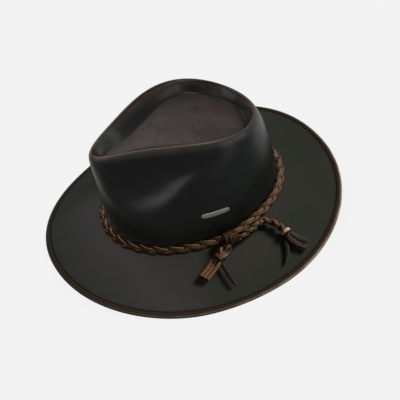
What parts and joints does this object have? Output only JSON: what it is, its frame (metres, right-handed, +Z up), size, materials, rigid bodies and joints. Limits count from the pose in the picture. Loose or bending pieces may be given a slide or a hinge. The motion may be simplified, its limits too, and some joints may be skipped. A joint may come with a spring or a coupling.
{
  "type": "leather hat",
  "caption": "Wide-brimmed leather hat with a teardrop crown, pinched sides and a plaited leather band whose two tails leave a coiled knot.",
  "frame": {"origin": "on the surface that the hat rests on, under the middle of its box", "axes": "+Z up, -Y to the front of the hat, +X to the wearer's left"},
  "size_m": [0.332, 0.3456, 0.1431],
  "materials": {
    "crown_leather": "smooth oiled leather, satin, worn reddish brown on the crest",
    "brim_leather": "smooth oiled leather, satin, burnished brown at the stitched edge",
    "plait_leather": "plaited and wound brown thong, satin",
    "cut_thong": "cut thong ends, matt tan",
    "dark_thong": "thin dark thong, matt",
    "pewter": "cast pewter, satin"
  },
  "bodies": {
    "root": {"crown": "crown_leather", "brim": "brim_leather", "braid_band": "plait_leather", "knot_wrap": "plait_leather", "tail_front": "plait_leather", "tail_front_whipping": "plait_leather", "tail_front_thong_1": "cut_thong", "tail_front_thong_2": "cut_thong", "tail_front_thong_3": "cut_thong", "tail_front_thong_4": "dark_thong", "tail_back": "plait_leather", "tail_back_whipping": "plait_leather", "tail_back_thong_1": "cut_thong", "tail_back_thong_2": "cut_thong", "tail_back_thong_3": "dark_thong", "crown_bar": "pewter"}
  },
  "joints": []
}
